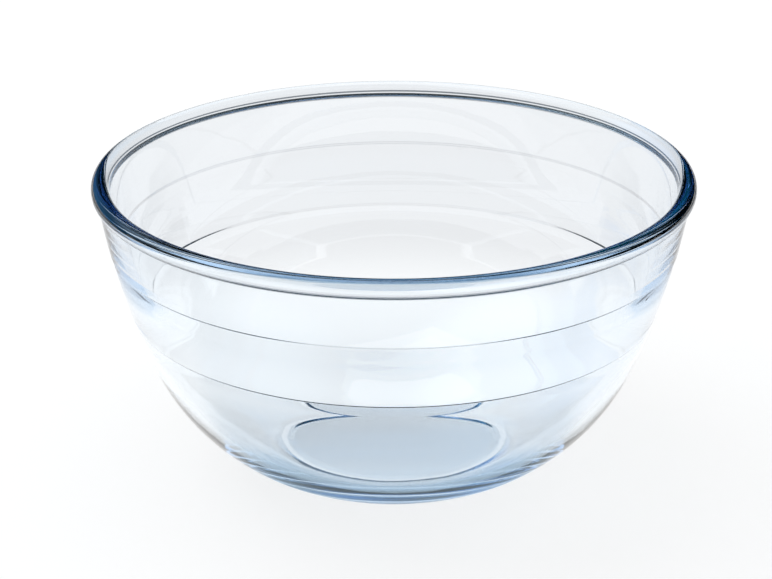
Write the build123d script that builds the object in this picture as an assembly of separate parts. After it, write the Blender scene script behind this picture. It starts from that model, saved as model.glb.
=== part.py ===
from build123d import *
from math import asin, cos, hypot, radians, sin, sqrt, tan
import os

# Round mixing bowl, pressed from clear glass in one piece.
# Millimetres, +Z up, origin at the centre of the resting face.
# One half outline, drawn in the XZ plane, turned once round the Z axis.
# The plunger side (inside) is smooth; the mould side (outside) carries a
# rounded bead at the mouth and two shallow ledges, each with a hollow groove
# under it that curves back out to the next part of the wall.

# overall
RIM_RADIUS = 110.0            # widest point of the bead
HEIGHT = 114.0                # resting face to the top of the bead

# mouth
BEAD_RADIUS = 3.4             # half the height of the round bead
BEAD_SOFTNESS = 0.8           # rounding where the bead meets the wall below
WALL_LEAN = 7.6               # degrees the wall leans outward at the bead

# outer side wall, one long round sweep stepped in at each ledge
SIDE_SWEEP = 276.1            # radius of the sweep below the bead
UPPER_SETBACK = 0.28          # how far the wall stays in below the upper ledge
LOWER_SETBACK = 0.1           # how far it stays in below the lower ledge
UPPER_LEDGE_HEIGHT = 0.779    # resting face up to the upper ledge, share of HEIGHT
LOWER_LEDGE_HEIGHT = 0.565    # resting face up to the lower ledge, share of HEIGHT
UPPER_DROP = 0.5              # depth of the groove under the upper ledge
LOWER_DROP = 0.45             # depth of the groove under the lower ledge
LEDGE_SLOPE = 0.75            # height over which a ledge turns in
LEDGE_SOFTNESS = 0.3          # rounding of the ledge edges
UPPER_GROOVE_HEIGHT = 5.0     # height over which the upper groove comes back out
LOWER_GROOVE_HEIGHT = 3.4     # height over which the lower one does

# wall thickness: fullest above the lower ledge, thinnest at the belly
RIM_WALL = 5.1                # just under the bead
SHOULDER_HEIGHT = 0.64        # resting face up to the fullest part, share of HEIGHT
SHOULDER_WALL = 5.9
THIN_HEIGHT = 0.5             # resting face up to the thin part, share of HEIGHT
THIN_WALL = 4.1
INSIDE_SOFTNESS = 0.45        # rounding at each end of the straight run between
                              # them, share of the shorter side of the corner

# belly, where the side wall turns in toward the foot
BELLY_HEIGHT = 0.39           # resting face up to the turn, share of HEIGHT
FLOOR_THICKNESS = 7.0
FLOOR_RADIUS = 0.427          # inside curve to the floor, share of RIM_RADIUS
FLOOR_SOFTNESS = 20.0         # rounding where the floor meets the wall

# foot
FOOT_RADIUS = 0.4             # outer curve to the table, share of RIM_RADIUS
FOOT_SOFTNESS = 2.5           # rounding of the outer edge of the foot
FOOT_RING_WIDTH = 2.6         # ring the bowl stands on
FOOT_HOLLOW = 0.8             # how far the middle is lifted off the table
FOOT_HOLLOW_SLOPE = 3.5       # width over which the hollow rises


def along(centre, radius, height):
    """Point of a round curve on the side away from the axis, at a height."""
    rise = height - centre[1]
    return (centre[0] + sqrt(radius**2 - rise**2), height)


def midway(centre, radius, first, last):
    """Point of the same curve halfway up between two of its points."""
    return along(centre, radius, (first[1] + last[1]) / 2)


def inward(centre, start, distance):
    """Point a distance from start, straight toward the centre of its curve."""
    across = start[0] - centre[0]
    up = start[1] - centre[1]
    reach = hypot(across, up)
    return (start[0] - distance * across / reach, start[1] - distance * up / reach)


def outward(centre, point):
    """Direction straight out of a curve at one of its points."""
    reach = hypot(point[0] - centre[0], point[1] - centre[1])
    return ((point[0] - centre[0]) / reach, (point[1] - centre[1]) / reach)


def turn_centre(start, normal, end):
    """Radius and centre of the curve leaving start square to normal and
    passing through end."""
    across = start[0] - end[0]
    up = start[1] - end[1]
    radius = (across**2 + up**2) / (2 * (across * normal[0] + up * normal[1]))
    centre = (start[0] - radius * normal[0], start[1] - radius * normal[1])
    return radius, centre


def rounding(corner, run_end, curve_end, centre):
    """Radius that rounds the corner between a straight run and a curve round
    centre, and takes up the chosen share of the shorter of the two."""
    run = (run_end[0] - corner[0], run_end[1] - corner[1])
    reach = (corner[0] - centre[0], corner[1] - centre[1])
    across = (run[0] * reach[0] + run[1] * reach[1]) / hypot(*reach)
    turn = asin(abs(across) / hypot(*run))
    beside = hypot(curve_end[0] - corner[0], curve_end[1] - corner[1])
    return INSIDE_SOFTNESS * min(hypot(*run), beside) / tan(turn / 2)


# centre of the round bead, and the wall's outward normal beside it
bead_centre = (RIM_RADIUS - BEAD_RADIUS, HEIGHT - BEAD_RADIUS)
rim_normal = (cos(radians(WALL_LEAN)), -sin(radians(WALL_LEAN)))

# the inside runs flush off the bead, so the wall thickness places the outer sweep
sweep_reach = SIDE_SWEEP - RIM_WALL + BEAD_RADIUS
sweep_centre = (
    bead_centre[0] - sweep_reach * rim_normal[0],
    bead_centre[1] - sweep_reach * rim_normal[1],
)
band_1 = SIDE_SWEEP
band_2 = band_1 - UPPER_SETBACK
band_3 = band_2 - LOWER_SETBACK

# where the outer sweep runs into the underside of the bead
neck_reach = (sweep_reach**2 + band_1**2 - BEAD_RADIUS**2) / (2 * sweep_reach)
neck_drop = sqrt(band_1**2 - neck_reach**2)
bead_neck = (
    sweep_centre[0] + neck_reach * rim_normal[0] + neck_drop * rim_normal[1],
    sweep_centre[1] + neck_reach * rim_normal[1] - neck_drop * rim_normal[0],
)
bead_crest = (bead_centre[0], HEIGHT)

# outer side wall, top to bottom
upper_edge = along(sweep_centre, band_1, UPPER_LEDGE_HEIGHT * HEIGHT)
upper_groove = along(sweep_centre, band_1 - UPPER_DROP, upper_edge[1] - LEDGE_SLOPE)
upper_return = along(sweep_centre, band_2, upper_groove[1] - UPPER_GROOVE_HEIGHT)
lower_edge = along(sweep_centre, band_2, LOWER_LEDGE_HEIGHT * HEIGHT)
lower_groove = along(sweep_centre, band_2 - LOWER_DROP, lower_edge[1] - LEDGE_SLOPE)
lower_return = along(sweep_centre, band_3, lower_groove[1] - LOWER_GROOVE_HEIGHT)
belly_out = along(sweep_centre, band_3, BELLY_HEIGHT * HEIGHT)

# each groove leaves the wall flush and curves in to the ledge above it
upper_hollow, upper_hollow_centre = turn_centre(
    upper_return, outward(sweep_centre, upper_return), upper_groove
)
lower_hollow, lower_hollow_centre = turn_centre(
    lower_return, outward(sweep_centre, lower_return), lower_groove
)

# outer turn at the belly, down to the foot
belly_angle = asin((sweep_centre[1] - belly_out[1]) / band_3)
belly_normal = (cos(belly_angle), -sin(belly_angle))
foot_edge = (FOOT_RADIUS * RIM_RADIUS, 0.0)
turn_out, turn_out_centre = turn_centre(belly_out, belly_normal, foot_edge)

# inside, top to bottom: it touches the bead and runs down to the full part
mouth_in = inward(sweep_centre, bead_centre, BEAD_RADIUS)
shoulder_out = along(sweep_centre, band_3, SHOULDER_HEIGHT * HEIGHT)
shoulder_in = inward(sweep_centre, shoulder_out, SHOULDER_WALL)
side_in, side_in_centre = turn_centre(mouth_in, rim_normal, shoulder_in)

# thin part, side by side with the outer wall, then the turn to the floor
thin_sweep = band_3 - THIN_WALL
thin_out = along(sweep_centre, band_3, THIN_HEIGHT * HEIGHT)
thin_in = inward(sweep_centre, thin_out, THIN_WALL)
belly_in = inward(sweep_centre, belly_out, THIN_WALL)
floor_edge = (FLOOR_RADIUS * RIM_RADIUS, FLOOR_THICKNESS)
turn_in, turn_in_centre = turn_centre(belly_in, belly_normal, floor_edge)
shoulder_softness = rounding(shoulder_in, thin_in, mouth_in, side_in_centre)
thin_softness = rounding(thin_in, shoulder_in, belly_in, sweep_centre)

# underside: narrow ring, gentle slope, shallow hollow
ring_in = (foot_edge[0] - FOOT_RING_WIDTH, 0.0)
hollow_edge = (ring_in[0] - FOOT_HOLLOW_SLOPE, FOOT_HOLLOW)


def curve(centre, radius, start, end):
    """Round curve between two of its points."""
    ThreePointArc(start, midway(centre, radius, start, end), end)


with BuildSketch(Plane.XZ) as outline:
    with BuildLine():
        Polyline((0, FLOOR_THICKNESS), (0, FOOT_HOLLOW), hollow_edge, ring_in, foot_edge)
        curve(turn_out_centre, turn_out, foot_edge, belly_out)
        curve(sweep_centre, band_3, belly_out, lower_return)
        curve(lower_hollow_centre, lower_hollow, lower_return, lower_groove)
        Line(lower_groove, lower_edge)
        curve(sweep_centre, band_2, lower_edge, upper_return)
        curve(upper_hollow_centre, upper_hollow, upper_return, upper_groove)
        Line(upper_groove, upper_edge)
        curve(sweep_centre, band_1, upper_edge, bead_neck)
        ThreePointArc(bead_neck, bead_crest, mouth_in)
        curve(side_in_centre, side_in, mouth_in, shoulder_in)
        Line(shoulder_in, thin_in)
        curve(sweep_centre, thin_sweep, thin_in, belly_in)
        curve(turn_in_centre, turn_in, belly_in, floor_edge)
        Line(floor_edge, (0, FLOOR_THICKNESS))
    make_face()

    # soften the corners where the mould and the plunger leave rounded glass
    for edge, softness in (
        (upper_edge, LEDGE_SOFTNESS),
        (upper_groove, LEDGE_SOFTNESS),
        (lower_edge, LEDGE_SOFTNESS),
        (lower_groove, LEDGE_SOFTNESS),
        (shoulder_in, shoulder_softness),
        (thin_in, thin_softness),
        (floor_edge, FLOOR_SOFTNESS),
        (foot_edge, FOOT_SOFTNESS),
        (bead_neck, BEAD_SOFTNESS),
    ):
        fillet(outline.vertices().sort_by_distance((*edge, 0))[0], softness)

bowl = revolve(outline.sketch, Axis.Z)

os.makedirs("parts", exist_ok=True)
export_step(bowl, "parts/glass_bowl.step")
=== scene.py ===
from cmath import phase, rect
from math import asin, ceil, cos, pi, radians, sin, sqrt, tan

import bpy
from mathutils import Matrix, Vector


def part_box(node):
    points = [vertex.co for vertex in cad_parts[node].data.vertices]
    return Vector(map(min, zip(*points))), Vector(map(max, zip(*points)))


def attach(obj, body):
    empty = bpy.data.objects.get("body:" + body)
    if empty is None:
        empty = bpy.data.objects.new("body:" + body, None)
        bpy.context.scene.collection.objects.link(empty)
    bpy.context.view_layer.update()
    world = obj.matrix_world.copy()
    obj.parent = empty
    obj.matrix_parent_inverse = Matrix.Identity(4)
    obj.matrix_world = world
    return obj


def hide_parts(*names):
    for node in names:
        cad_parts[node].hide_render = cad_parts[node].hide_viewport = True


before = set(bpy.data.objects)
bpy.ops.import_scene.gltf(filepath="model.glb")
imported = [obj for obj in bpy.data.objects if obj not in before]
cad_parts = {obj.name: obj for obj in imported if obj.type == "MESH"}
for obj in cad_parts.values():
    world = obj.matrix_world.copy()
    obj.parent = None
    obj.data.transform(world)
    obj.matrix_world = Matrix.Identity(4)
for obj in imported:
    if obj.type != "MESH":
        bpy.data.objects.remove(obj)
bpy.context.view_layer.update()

scene = bpy.context.scene

# ---------------------------------------------------------------------------
# Glass bowl: the whole object. One round bowl of clear soda-lime glass, pressed
# hot between a mould (outside) and a plunger (inside), then fire-polished. The
# mould leaves two shallow ledges outside, each with a groove under it.
# ---------------------------------------------------------------------------
# Sizes in millimetres. A point of the half outline is a complex number: its
# real part is the distance from the axis, its imaginary part the height.
MM = 0.001
glass_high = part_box("glass_bowl")[1]
RIM_RADIUS = glass_high[0] / MM
HEIGHT = glass_high[2] / MM

BEAD_RADIUS = 3.4             # the round bead at the mouth
BEAD_SOFTNESS = 0.8
WALL_LEAN = 7.6               # degrees the wall leans outward at the bead

SIDE_SWEEP = 276.1            # outer wall below the bead
UPPER_SETBACK = 0.28          # how far the wall stays in below a ledge
LOWER_SETBACK = 0.1
UPPER_LEDGE = 0.779 * HEIGHT
LOWER_LEDGE = 0.565 * HEIGHT
UPPER_DROP = 0.5              # depth of the groove under a ledge
LOWER_DROP = 0.45
LEDGE_SLOPE = 0.75            # height over which a ledge turns in
LEDGE_SOFTNESS = 0.3
UPPER_GROOVE = 5.0            # height over which a groove comes back out
LOWER_GROOVE = 3.4

RIM_WALL = 5.1
SHOULDER = 0.64 * HEIGHT      # height at which the wall is fullest
SHOULDER_WALL = 5.9
THIN = 0.5 * HEIGHT           # height at which it has thinned
THIN_WALL = 4.1
INSIDE_SOFTNESS = 0.45        # share of a corner's shorter side

BELLY = 0.39 * HEIGHT         # height at which the wall turns in to the foot
FLOOR_THICKNESS = 7.0
FLOOR_RADIUS = 0.427 * RIM_RADIUS
FLOOR_SOFTNESS = 20.0
FOOT_RADIUS = 0.4 * RIM_RADIUS
FOOT_SOFTNESS = 2.5
FOOT_RING_WIDTH = 2.6
FOOT_HOLLOW = 0.8
FOOT_HOLLOW_SLOPE = 3.5


def along(centre, radius, height):
    """Point of a round curve on the side away from the axis, at a height."""
    return complex(centre.real + sqrt(radius**2 - (height - centre.imag)**2), height)


def inward(centre, start, distance):
    """Point a distance from start, straight toward the centre of its curve."""
    reach = start - centre
    return start - distance * reach / abs(reach)


def turn_centre(start, normal, end):
    """Centre of the curve that leaves start square to normal and meets end."""
    chord = start - end
    return start - abs(chord)**2 / (2 * (chord * normal.conjugate()).real) * normal


bead_centre = complex(RIM_RADIUS - BEAD_RADIUS, HEIGHT - BEAD_RADIUS)
bead_crest = bead_centre + complex(0, BEAD_RADIUS)
rim_normal = rect(1, -radians(WALL_LEAN))
sweep_reach = SIDE_SWEEP - RIM_WALL + BEAD_RADIUS
sweep_centre = bead_centre - sweep_reach * rim_normal
band_1 = SIDE_SWEEP
band_2 = band_1 - UPPER_SETBACK
band_3 = band_2 - LOWER_SETBACK
neck_reach = (sweep_reach**2 + band_1**2 - BEAD_RADIUS**2) / (2 * sweep_reach)
bead_neck = sweep_centre + complex(neck_reach, -sqrt(band_1**2 - neck_reach**2)) * rim_normal

upper_edge = along(sweep_centre, band_1, UPPER_LEDGE)
upper_groove = along(sweep_centre, band_1 - UPPER_DROP, upper_edge.imag - LEDGE_SLOPE)
upper_return = along(sweep_centre, band_2, upper_groove.imag - UPPER_GROOVE)
upper_hollow = turn_centre(upper_return, (upper_return - sweep_centre) / band_2, upper_groove)
lower_edge = along(sweep_centre, band_2, LOWER_LEDGE)
lower_groove = along(sweep_centre, band_2 - LOWER_DROP, lower_edge.imag - LEDGE_SLOPE)
lower_return = along(sweep_centre, band_3, lower_groove.imag - LOWER_GROOVE)
lower_hollow = turn_centre(lower_return, (lower_return - sweep_centre) / band_3, lower_groove)
belly_out = along(sweep_centre, band_3, BELLY)
belly_normal = (belly_out - sweep_centre) / band_3
foot_edge = complex(FOOT_RADIUS, 0)
turn_out = turn_centre(belly_out, belly_normal, foot_edge)
ring_in = foot_edge - FOOT_RING_WIDTH
hollow_edge = ring_in + complex(-FOOT_HOLLOW_SLOPE, FOOT_HOLLOW)

mouth_in = inward(sweep_centre, bead_centre, BEAD_RADIUS)
shoulder_in = inward(sweep_centre, along(sweep_centre, band_3, SHOULDER), SHOULDER_WALL)
side_in = turn_centre(mouth_in, rim_normal, shoulder_in)
thin_in = inward(sweep_centre, along(sweep_centre, band_3, THIN), THIN_WALL)
belly_in = inward(sweep_centre, belly_out, THIN_WALL)
floor_edge = complex(FLOOR_RADIUS, FLOOR_THICKNESS)
turn_in = turn_centre(belly_in, belly_normal, floor_edge)


def inside_softness(corner, run_end, curve_end, centre):
    """Radius of a corner between the straight run and a curve round centre."""
    run, reach = run_end - corner, corner - centre
    turn = asin(abs((run * reach.conjugate()).real) / (abs(run) * abs(reach)))
    return INSIDE_SOFTNESS * min(abs(run), abs(curve_end - corner)) / tan(turn / 2)


# The half outline as strokes, glass on the left: end of the stroke, centre of
# its curve or None where it is straight, and the rounding of the corner there.
outline_start = complex(0, FOOT_HOLLOW)
outline = (
    (hollow_edge, None, 0),
    (ring_in, None, 0),
    (foot_edge, None, FOOT_SOFTNESS),
    (belly_out, turn_out, 0),
    (lower_return, sweep_centre, 0),
    (lower_groove, lower_hollow, LEDGE_SOFTNESS),
    (lower_edge, None, LEDGE_SOFTNESS),
    (upper_return, sweep_centre, 0),
    (upper_groove, upper_hollow, LEDGE_SOFTNESS),
    (upper_edge, None, LEDGE_SOFTNESS),
    (bead_neck, sweep_centre, BEAD_SOFTNESS),
    (bead_crest, bead_centre, 0),
    (mouth_in, bead_centre, 0),
    (shoulder_in, side_in, inside_softness(shoulder_in, thin_in, mouth_in, side_in)),
    (thin_in, None, inside_softness(thin_in, shoulder_in, belly_in, sweep_centre)),
    (belly_in, sweep_centre, 0),
    (floor_edge, turn_in, FLOOR_SOFTNESS),
    (complex(0, FLOOR_THICKNESS), None, 0),
)


def beside(stroke, point):
    """How far a point is to the left of a stroke, and the way left from there."""
    start, end, centre = stroke
    if centre is None:
        left = 1j * (end - start) / abs(end - start)
        return ((point - start) * left.conjugate()).real, left
    out = (point - centre) / abs(point - centre)
    bend = 1 if ((end - start).conjugate() * (centre - start)).imag > 0 else -1
    return bend * (abs(start - centre) - abs(point - centre)), -bend * out


def rounded(first, second, softness):
    """Curve of the given radius that touches two strokes near their corner."""
    corner = first[1]
    left_1, left_2 = beside(first, corner)[1], beside(second, corner)[1]
    hand = 1 if (left_1.conjugate() * left_2).imag > 0 else -1
    both = left_1 + left_2
    centre = corner + hand * softness * 2 * both / abs(both)**2
    for _ in range(8):
        (off_1, left_1), (off_2, left_2) = beside(first, centre), beside(second, centre)
        short_1, short_2 = hand * softness - off_1, hand * softness - off_2
        spread = (left_1.conjugate() * left_2).imag
        centre += 1j * (short_2 * left_1 - short_1 * left_2) / spread
    return (centre - hand * softness * beside(first, centre)[1],
            centre - hand * softness * beside(second, centre)[1], centre)


strokes, softnesses, pen = [], [], outline_start
for end, centre, softness in outline:
    strokes.append((pen, end, centre))
    softnesses.append(softness)
    pen = end
rounded_strokes = []
for place, stroke in enumerate(strokes):
    rounded_strokes.append(stroke)
    if softnesses[place]:
        curve = rounded(stroke, strokes[place + 1], softnesses[place])
        rounded_strokes[-1] = (stroke[0], curve[0], stroke[2])
        rounded_strokes.append(curve)
        strokes[place + 1] = (curve[1],) + strokes[place + 1][1:]

# Points along each stroke, closer together toward its ends, so that the shading
# runs smoothly from a broad curve into a small one.
LONGEST_STEP = 1.9
WIDEST_TURN = radians(9)
FACETS_ROUND = 256
half_outline = [outline_start]
for start, end, centre in rounded_strokes:
    turn = 0 if centre is None else phase((end - centre) / (start - centre))
    length = abs(end - start) if centre is None else abs(turn) * abs(start - centre)
    steps = max(2, ceil(length / LONGEST_STEP), ceil(abs(turn) / WIDEST_TURN))
    for step in range(1, steps + 1):
        share = (1 - cos(pi * step / steps)) / 2
        half_outline.append(start + share * (end - start) if centre is None
                            else centre + (start - centre) * rect(1, share * turn))

outline_mesh = bpy.data.meshes.new("bowl_half_outline")
outline_mesh.from_pydata([(point.real * MM, 0, point.imag * MM) for point in half_outline],
                         [(step, step + 1) for step in range(len(half_outline) - 1)], [])
bowl_maker = bpy.data.objects.new("bowl_maker", outline_mesh)
scene.collection.objects.link(bowl_maker)

# The outline is turned round the axis, the seam and both poles are welded, and
# the two faces get the slow waves that pressing leaves in the glass.
WELD = 0.001 * MM
WAVE_HEIGHT = 0.05 * MM
WAVE_LENGTH = 22 * MM
WAVE_DETAIL = 0.5
WAVE_SEED = 7.0
FLAT_UP_TO = 6 * MM           # below this the waves die out toward the flat foot
lathe = bpy.data.node_groups.new("turned_glass", "GeometryNodeTree")
sockets = lathe.interface
sockets.new_socket("Outline", in_out="INPUT", socket_type="NodeSocketGeometry")
facets_in = sockets.new_socket("Facets Round", in_out="INPUT", socket_type="NodeSocketInt")
wave_in = sockets.new_socket("Wave Height", in_out="INPUT", socket_type="NodeSocketFloat")
length_in = sockets.new_socket("Wave Length", in_out="INPUT", socket_type="NodeSocketFloat")
flat_in = sockets.new_socket("Flat Up To", in_out="INPUT", socket_type="NodeSocketFloat")
seed_in = sockets.new_socket("Seed", in_out="INPUT", socket_type="NodeSocketFloat")
glass_in = sockets.new_socket("Glass", in_out="INPUT", socket_type="NodeSocketMaterial")
sockets.new_socket("Bowl", in_out="OUTPUT", socket_type="NodeSocketGeometry")
inputs = lathe.nodes.new("NodeGroupInput")
result = lathe.nodes.new("NodeGroupOutput")


def geo(kind, **settings):
    """A new node of the lathe tree; settings name its properties."""
    node = lathe.nodes.new(kind)
    for name, value in settings.items():
        setattr(node, name, value)
    return node


def maths(operation, first, second=None, third=None):
    """Output of a Math node fed with sockets or plain numbers."""
    node = geo("ShaderNodeMath", operation=operation)
    for place, value in enumerate((first, second, third)):
        if isinstance(value, (int, float)):
            node.inputs[place].default_value = value
        elif value is not None:
            lathe.links.new(value, node.inputs[place])
    return node.outputs[0]


join = lathe.links.new
outline_size = geo("GeometryNodeAttributeDomainSize", component="MESH")
join(inputs.outputs["Outline"], outline_size.inputs["Geometry"])
outline_count = outline_size.outputs["Point Count"]
sheet = geo("GeometryNodeMeshGrid")
join(maths("ADD", inputs.outputs["Facets Round"], 1), sheet.inputs["Vertices X"])
join(outline_count, sheet.inputs["Vertices Y"])
number = geo("GeometryNodeInputIndex").outputs[0]
column = maths("FLOOR", maths("DIVIDE", maths("ADD", number, 0.5), outline_count))
row = maths("SUBTRACT", number, maths("MULTIPLY", column, outline_count))
outline_point = geo("GeometryNodeSampleIndex", data_type="FLOAT_VECTOR", domain="POINT")
join(inputs.outputs["Outline"], outline_point.inputs["Geometry"])
join(geo("GeometryNodeInputPosition").outputs[0], outline_point.inputs["Value"])
join(row, outline_point.inputs["Index"])
column_angle = maths("MULTIPLY", maths("DIVIDE", column, inputs.outputs["Facets Round"]), 2 * pi)
turned = geo("ShaderNodeVectorRotate", rotation_type="Z_AXIS")
join(outline_point.outputs["Value"], turned.inputs["Vector"])
join(column_angle, turned.inputs["Angle"])
shaped = geo("GeometryNodeSetPosition")
join(sheet.outputs["Mesh"], shaped.inputs["Geometry"])
join(turned.outputs[0], shaped.inputs["Position"])
welded = geo("GeometryNodeMergeByDistance")
welded.inputs["Distance"].default_value = WELD
join(shaped.outputs[0], welded.inputs["Geometry"])

waves = geo("ShaderNodeTexNoise", noise_dimensions="4D")
waves.inputs["Detail"].default_value = WAVE_DETAIL
join(geo("GeometryNodeInputPosition").outputs[0], waves.inputs["Vector"])
join(inputs.outputs["Seed"], waves.inputs["W"])
join(maths("DIVIDE", 1, inputs.outputs["Wave Length"]), waves.inputs["Scale"])
height = geo("ShaderNodeSeparateXYZ")
join(geo("GeometryNodeInputPosition").outputs[0], height.inputs[0])
free = maths("MINIMUM", maths("DIVIDE", height.outputs["Z"], inputs.outputs["Flat Up To"]), 1)
lift = maths("MULTIPLY", maths("SUBTRACT", waves.outputs[0], 0.5),
             maths("MULTIPLY", free, inputs.outputs["Wave Height"]))
push = geo("ShaderNodeVectorMath", operation="SCALE")
join(geo("GeometryNodeInputNormal").outputs[0], push.inputs[0])
join(lift, push.inputs["Scale"])
waved = geo("GeometryNodeSetPosition")
join(welded.outputs[0], waved.inputs["Geometry"])
join(push.outputs[0], waved.inputs["Offset"])
smooth = geo("GeometryNodeSetShadeSmooth")
join(waved.outputs[0], smooth.inputs["Geometry"])
real = geo("GeometryNodeRealizeInstances")
join(smooth.outputs[0], real.inputs[0])
coated = geo("GeometryNodeSetMaterial")
join(real.outputs[0], coated.inputs["Geometry"])
join(inputs.outputs["Glass"], coated.inputs["Material"])
join(coated.outputs[0], result.inputs[0])

# Clear glass: its colour comes from the light it swallows on the way through,
# its polish varies a little, and fine ripples run over it.
GLASS_SURFACE = (0.985, 0.995, 1.0)
GLASS_IOR = 1.5
GLASS_TINT = (0.1, 0.5, 0.88)
GLASS_TINT_DENSITY = 9.0
POLISH_SCALE, POLISH_DETAIL = 28.0, 3.0
POLISH_FROM, POLISH_TO = 0.35, 0.75      # share of the noise over which polish falls off
DULLEST = 0.02
RIPPLE_SCALE, RIPPLE_DETAIL = 160.0, 1.0
RIPPLE_STRENGTH = 0.25
RIPPLE_HEIGHT = 0.02 * MM
glass = bpy.data.materials.new("clear_pressed_glass")
glass.use_nodes = True
tree = glass.node_tree
body = tree.nodes["Principled BSDF"]
body.inputs["Base Color"].default_value = (*GLASS_SURFACE, 1)
body.inputs["IOR"].default_value = GLASS_IOR
body.inputs["Transmission Weight"].default_value = 1.0
swallow = tree.nodes.new("ShaderNodeVolumeAbsorption")
swallow.inputs["Color"].default_value = (*GLASS_TINT, 1)
swallow.inputs["Density"].default_value = GLASS_TINT_DENSITY
tree.links.new(swallow.outputs[0], tree.nodes["Material Output"].inputs["Volume"])
where = tree.nodes.new("ShaderNodeTexCoord")
polish = tree.nodes.new("ShaderNodeTexNoise")
polish.inputs["Scale"].default_value = POLISH_SCALE
polish.inputs["Detail"].default_value = POLISH_DETAIL
tree.links.new(where.outputs["Object"], polish.inputs["Vector"])
polish_range = tree.nodes.new("ShaderNodeMapRange")
polish_range.inputs["From Min"].default_value = POLISH_FROM
polish_range.inputs["From Max"].default_value = POLISH_TO
polish_range.inputs["To Max"].default_value = DULLEST
tree.links.new(polish.outputs[0], polish_range.inputs["Value"])
tree.links.new(polish_range.outputs[0], body.inputs["Roughness"])
ripple = tree.nodes.new("ShaderNodeTexNoise")
ripple.inputs["Scale"].default_value = RIPPLE_SCALE
ripple.inputs["Detail"].default_value = RIPPLE_DETAIL
tree.links.new(where.outputs["Object"], ripple.inputs["Vector"])
ripple_bump = tree.nodes.new("ShaderNodeBump")
ripple_bump.inputs["Strength"].default_value = RIPPLE_STRENGTH
ripple_bump.inputs["Distance"].default_value = RIPPLE_HEIGHT
tree.links.new(ripple.outputs[0], ripple_bump.inputs["Height"])
tree.links.new(ripple_bump.outputs[0], body.inputs["Normal"])

turning = bowl_maker.modifiers.new("turning", "NODES")
turning.node_group = lathe
turning[facets_in.identifier] = FACETS_ROUND
turning[wave_in.identifier] = WAVE_HEIGHT
turning[length_in.identifier] = WAVE_LENGTH
turning[flat_in.identifier] = FLAT_UP_TO
turning[seed_in.identifier] = WAVE_SEED
turning[glass_in.identifier] = glass
bpy.context.view_layer.update()
bowl_mesh = bpy.data.meshes.new_from_object(
    bowl_maker.evaluated_get(bpy.context.evaluated_depsgraph_get()))
bowl_mesh.name = "pressed_glass_bowl"
bowl = bpy.data.objects.new("pressed_glass_bowl", bowl_mesh)
scene.collection.objects.link(bowl)
bpy.data.objects.remove(bowl_maker)
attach(bowl, "root")
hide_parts("glass_bowl")

# ---------------------------------------------------------------------------
# Floor: a plain white table top, far wider than the view. The lamps light it and
# it keeps the bowl's shadow; a little light of its own brings the lit part up to
# white. The glass shows it a little duller, with painted light and shade in that
# glow: a painted pool of light round the foot, painted shade under the foot,
# painted tinted shade toward the front, and a painted dark strip far behind.
# ---------------------------------------------------------------------------
FLOOR_REACH = 6.0
FLOOR_SHADE = 0.25            # how much of the lamps' light it gives back
FLOOR_GLOW = 0.8              # its own light, seen directly
FLOOR_SEEN = (0.71, 0.7, 0.7)   # its own light as the glass shows it
ALL_ROUND, IN_FRONT, BEHIND = 0, 1, -1
# Painted light and shade in the floor's glow, shown to the glass only: a painted brighter ring
# round the foot, painted tinted shade and then a painted dark shadow in front, a painted dark
# strip far behind, and painted shade under the foot.
FLOOR_PAINTED_LIGHT_AND_SHADE = (   # distances from the axis over which a tone sets in, side, tone
    (0.24, 0.14, ALL_ROUND, (0.9, 0.89, 0.88)),
    (0.046, 0.054, IN_FRONT, (0.42, 0.55, 0.66)),
    (0.08, 0.1, IN_FRONT, (0.02, 0.1, 0.18)),
    (0.13, 0.17, IN_FRONT, FLOOR_SEEN),
    (0.54, 0.58, BEHIND, (0.0, 0.01, 0.03)),
    (0.94, 1.0, BEHIND, FLOOR_SEEN),
    (0.046, 0.04, ALL_ROUND, (0.74, 0.76, 0.78)),
)
SIDE_FROM, SIDE_FULL = 0.2, 0.75   # cosine of the angle from straight ahead or behind
bpy.ops.mesh.primitive_circle_add(vertices=96, radius=FLOOR_REACH, fill_type="TRIFAN")
floor = bpy.context.object
floor.name = "floor"
floor_paint = bpy.data.materials.new("white_floor")
floor_paint.use_nodes = True
tree = floor_paint.node_tree
tree.nodes.remove(tree.nodes["Principled BSDF"])


def floor_maths(operation, *values, clamp=False):
    """Output of a Math node of the floor fed with sockets or plain numbers."""
    node = tree.nodes.new("ShaderNodeMath")
    node.operation, node.use_clamp = operation, clamp
    for place, value in enumerate(values):
        if isinstance(value, (int, float)):
            node.inputs[place].default_value = value
        else:
            tree.links.new(value, node.inputs[place])
    return node.outputs[0]


def setting_in(value, start, full):
    """Share that grows smoothly from 0 at start to 1 at full."""
    node = tree.nodes.new("ShaderNodeMapRange")
    node.interpolation_type = "SMOOTHSTEP"
    node.inputs["From Min"].default_value = start
    node.inputs["From Max"].default_value = full
    tree.links.new(value, node.inputs["Value"])
    return node.outputs[0]


spot = tree.nodes.new("ShaderNodeTexCoord")
from_axis = tree.nodes.new("ShaderNodeVectorMath")
from_axis.operation = "LENGTH"
tree.links.new(spot.outputs["Object"], from_axis.inputs[0])
side = tree.nodes.new("ShaderNodeSeparateXYZ")
tree.links.new(spot.outputs["Object"], side.inputs[0])
away = from_axis.outputs["Value"]
ahead = floor_maths("DIVIDE", floor_maths("MULTIPLY", side.outputs["Y"], -1.0), away)
on_side = {
    IN_FRONT: setting_in(ahead, SIDE_FROM, SIDE_FULL),
    BEHIND: setting_in(floor_maths("MULTIPLY", ahead, -1.0), SIDE_FROM, SIDE_FULL),
}
floor_glow_painted_for_glass = tree.nodes.new("ShaderNodeRGB").outputs[0]
floor_glow_painted_for_glass.default_value = (*FLOOR_SEEN, 1)
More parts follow.
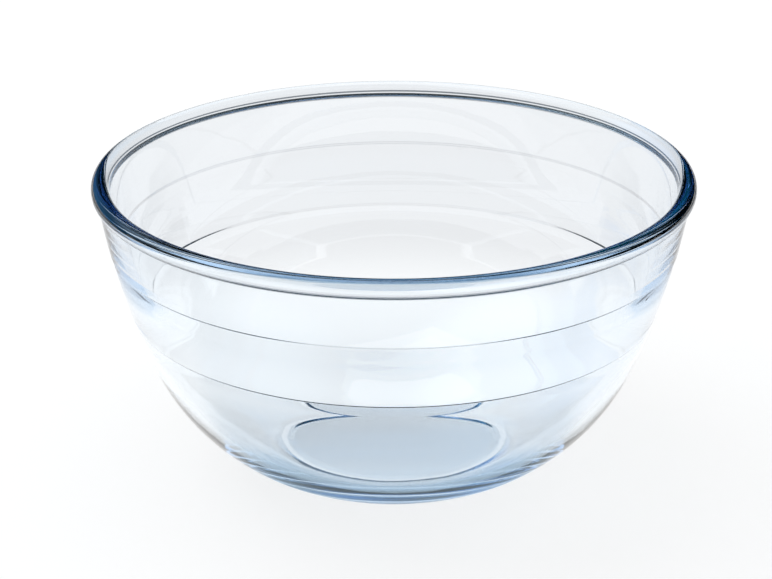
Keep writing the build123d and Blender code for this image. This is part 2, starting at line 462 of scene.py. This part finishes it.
# Mix the painted light and shade into the floor's glow as the glass sees it.
for start, full, where, colour in FLOOR_PAINTED_LIGHT_AND_SHADE:
    share = setting_in(away, start, full)
    if where != ALL_ROUND:
        share = floor_maths("MULTIPLY", share, on_side[where])
    change = tree.nodes.new("ShaderNodeMix")
    change.data_type = "RGBA"
    tree.links.new(share, change.inputs[0])
    tree.links.new(floor_glow_painted_for_glass, change.inputs[6])
    change.inputs[7].default_value = (*colour, 1)
    floor_glow_painted_for_glass = change.outputs[2]
ray = tree.nodes.new("ShaderNodeLightPath")
by_glass = floor_maths("ADD", ray.outputs["Is Glossy Ray"], ray.outputs["Is Transmission Ray"],
                       clamp=True)
plain = floor_maths("MULTIPLY", ray.outputs["Is Camera Ray"], FLOOR_GLOW)
seen = tree.nodes.new("ShaderNodeVectorMath")
seen.operation = "MULTIPLY_ADD"
tree.links.new(floor_glow_painted_for_glass, seen.inputs[0])
tree.links.new(by_glass, seen.inputs[1])
tree.links.new(plain, seen.inputs[2])
paint = tree.nodes.new("ShaderNodeBsdfDiffuse")
paint.inputs["Color"].default_value = (FLOOR_SHADE, FLOOR_SHADE, FLOOR_SHADE, 1)
glow = tree.nodes.new("ShaderNodeEmission")
tree.links.new(seen.outputs[0], glow.inputs["Color"])
both = tree.nodes.new("ShaderNodeAddShader")
tree.links.new(paint.outputs[0], both.inputs[0])
tree.links.new(glow.outputs[0], both.inputs[1])
tree.links.new(both.outputs[0], tree.nodes["Material Output"].inputs["Surface"])
floor.data.materials.append(floor_paint)

# ---------------------------------------------------------------------------
# Studio: dark cloth hung all round and overhead, which gives off a faint dark blue
# of its own and a few painted soft glows: painted reflections of the left and right
# lamps and patches of painted blue light. A white card hangs round the sides and
# the front. Only the glass shows them. Azimuth 0 is straight behind the bowl, 90 to
# its right; elevation is up from the floor.
# ---------------------------------------------------------------------------
CLOTH_REACH = 5.0
FACING_FRONT = 180            # azimuth of the side toward the camera
CLOTH_COLOUR = (0.004, 0.012, 0.02)
# Painted glows on the cloth: the first and third are painted reflections of the left and right
# lamps, which are kept out of the glass; the second and fourth are painted blue light.
PAINTED_CLOTH_GLOWS = (   # azimuth, elevation, inner and outer spread in degrees, colour
    (-78, 50, 10, 40, (1.2, 1.45, 1.6)),
    (-50, 14, 8, 36, (0.1, 0.36, 0.75)),
    (75, 45, 8, 34, (0.25, 0.4, 0.5)),
    (15, 38, 6, 24, (0.0, 0.3, 0.6)),
)


def way(azimuth, elevation):
    """Direction from the bowl as three parts."""
    turn, up = radians(azimuth), radians(elevation)
    return (cos(up) * sin(turn), cos(up) * cos(turn), sin(up))


def seen_by_glass_only(piece):
    """Leave a stage piece to the glass: no direct view, no light taken away."""
    piece.visible_camera = False
    piece.visible_diffuse = False
    piece.visible_shadow = False


bpy.ops.mesh.primitive_uv_sphere_add(segments=64, ring_count=32, radius=CLOTH_REACH)
cloth = bpy.context.object
cloth.name = "dark_cloth"
seen_by_glass_only(cloth)
cloth_dark = bpy.data.materials.new("dark_cloth")
cloth_dark.use_nodes = True
tree = cloth_dark.node_tree
tree.nodes.remove(tree.nodes["Principled BSDF"])
place = tree.nodes.new("ShaderNodeTexCoord")
facing = tree.nodes.new("ShaderNodeVectorMath")
facing.operation = "NORMALIZE"
tree.links.new(place.outputs["Object"], facing.inputs[0])
total = None
for azimuth, elevation, inner, outer, colour in PAINTED_CLOTH_GLOWS:
    near = tree.nodes.new("ShaderNodeVectorMath")
    near.operation = "DOT_PRODUCT"
    near.inputs[1].default_value = way(azimuth, elevation)
    tree.links.new(facing.outputs[0], near.inputs[0])
    spread = tree.nodes.new("ShaderNodeMapRange")
    spread.interpolation_type = "SMOOTHSTEP"
    spread.inputs["From Min"].default_value = cos(radians(outer))
    spread.inputs["From Max"].default_value = cos(radians(inner))
    tree.links.new(near.outputs["Value"], spread.inputs["Value"])
    tint = tree.nodes.new("ShaderNodeVectorMath")
    tint.operation = "MULTIPLY_ADD"
    tint.inputs[1].default_value = colour
    tint.inputs[2].default_value = CLOTH_COLOUR
    tree.links.new(spread.outputs[0], tint.inputs[0])
    if total:
        tree.links.new(total, tint.inputs[2])
    total = tint.outputs[0]
# The cloth shines by itself with its dark blue and the painted glows, seen by the glass only.
dark = tree.nodes.new("ShaderNodeEmission")
tree.links.new(total, dark.inputs["Color"])
tree.links.new(dark.outputs[0], tree.nodes["Material Output"].inputs["Surface"])
cloth_dark.cycles.emission_sampling = "NONE"
cloth.data.materials.append(cloth_dark)

WHITE_CARD_REACH = 2.0        # how far out it hangs
WHITE_CARD_FOOT = 0.001       # its lower edge above the floor
WHITE_CARD_HEIGHT = 0.35      # its upper edge
WHITE_CARD_SPREAD = 110       # degrees to each side of straight in front
WHITE_CARD_FOLD = 5           # degrees between its folds
WHITE_CARD_GLOW = 1.2
corners = []
for turn in range(-WHITE_CARD_SPREAD, WHITE_CARD_SPREAD + 1, WHITE_CARD_FOLD):
    x, y, _ = way(FACING_FRONT + turn, 0)
    corners.append((WHITE_CARD_REACH * x, WHITE_CARD_REACH * y, WHITE_CARD_FOOT))
    corners.append((WHITE_CARD_REACH * x, WHITE_CARD_REACH * y, WHITE_CARD_HEIGHT))
paper = bpy.data.materials.new("white_card")
paper.use_nodes = True
tree = paper.node_tree
tree.nodes.remove(tree.nodes["Principled BSDF"])
shine = tree.nodes.new("ShaderNodeEmission")
shine.inputs["Strength"].default_value = WHITE_CARD_GLOW
tree.links.new(shine.outputs[0], tree.nodes["Material Output"].inputs["Surface"])
paper.cycles.emission_sampling = "NONE"
card_mesh = bpy.data.meshes.new("white_card")
card_mesh.from_pydata(corners, [],
                      [(low, low + 1, low + 3, low + 2) for low in range(0, len(corners) - 2, 2)])
card_mesh.materials.append(paper)
card = bpy.data.objects.new("white_card", card_mesh)
scene.collection.objects.link(card)
seen_by_glass_only(card)


def softbox(name, azimuth, elevation, distance, width, height, brightness, colour, in_glass):
    """A rectangular lamp that faces the bowl, shown in the glass or kept out of it;
    brightness 1 looks white."""
    lamp = bpy.data.lights.new(name, "AREA")
    lamp.shape = "RECTANGLE"
    lamp.size, lamp.size_y = width, height
    lamp.energy = brightness * pi * width * height
    lamp.color = colour
    stand = bpy.data.objects.new(name, lamp)
    stand.location = [distance * part for part in way(azimuth, elevation)]
    stand.rotation_euler = (-stand.location).to_track_quat("-Z", "Y").to_euler()
    stand.visible_glossy = stand.visible_transmission = in_glass
    scene.collection.objects.link(stand)


# The left and right lamps are kept out of the glass; painted glows on the cloth show their
# reflections instead.
softbox("left_bank", -68, 50, 1.8, 1.6, 1.3, 2.0, (0.9, 0.97, 1.0), False)
softbox("top_bank", -30, 78, 1.8, 1.2, 0.9, 1.4, (0.9, 0.97, 1.0), True)
softbox("right_bank", 72, 48, 1.8, 0.6, 1.2, 0.8, (0.8, 0.93, 1.0), False)

AIR_LIGHT = 0.5               # open air, half as bright as white
world = bpy.data.worlds.new("studio_air")
scene.world = world
world.use_nodes = True
air = world.node_tree
air.nodes["Background"].inputs["Color"].default_value = (1, 1, 1, 1)
ray = air.nodes.new("ShaderNodeLightPath")
open_air = air.nodes.new("ShaderNodeMath")      # seen directly it is plain white
open_air.operation = "MULTIPLY_ADD"
open_air.inputs[1].default_value = 1 - AIR_LIGHT
open_air.inputs[2].default_value = AIR_LIGHT
air.links.new(ray.outputs["Is Camera Ray"], open_air.inputs[0])
air.links.new(open_air.outputs[0], air.nodes["Background"].inputs["Strength"])

# ---------------------------------------------------------------------------
# Camera: a long lens a little above the bowl, looking down at it.
# ---------------------------------------------------------------------------
VIEW_DOWN = radians(22.64)
VIEW_DISTANCE = 0.825
VIEW_HEIGHT = 0.066           # where the line of sight meets the bowl's axis
VIEW_LENS = 103.04
VIEW_SHIFT = -0.01028
MOST_TURNS = 24               # turns that light takes inside a thick glass wall
MOST_REFLECTIONS = 16
camera_lens = bpy.data.cameras.new("camera")
camera_lens.sensor_width = 36.0
camera_lens.lens = VIEW_LENS
camera_lens.shift_x = VIEW_SHIFT
camera_lens.clip_start = 0.01
camera = bpy.data.objects.new("camera", camera_lens)
camera.location = (0, -VIEW_DISTANCE * cos(VIEW_DOWN),
                   VIEW_HEIGHT + VIEW_DISTANCE * sin(VIEW_DOWN))
camera.rotation_euler = (pi / 2 - VIEW_DOWN, 0, 0)
scene.collection.objects.link(camera)
scene.camera = camera
scene.view_settings.view_transform = "Standard"
# Light turns back many times inside a thick glass wall before it leaves.
scene.cycles.max_bounces = MOST_TURNS
scene.cycles.transmission_bounces = MOST_TURNS
scene.cycles.glossy_bounces = MOST_REFLECTIONS
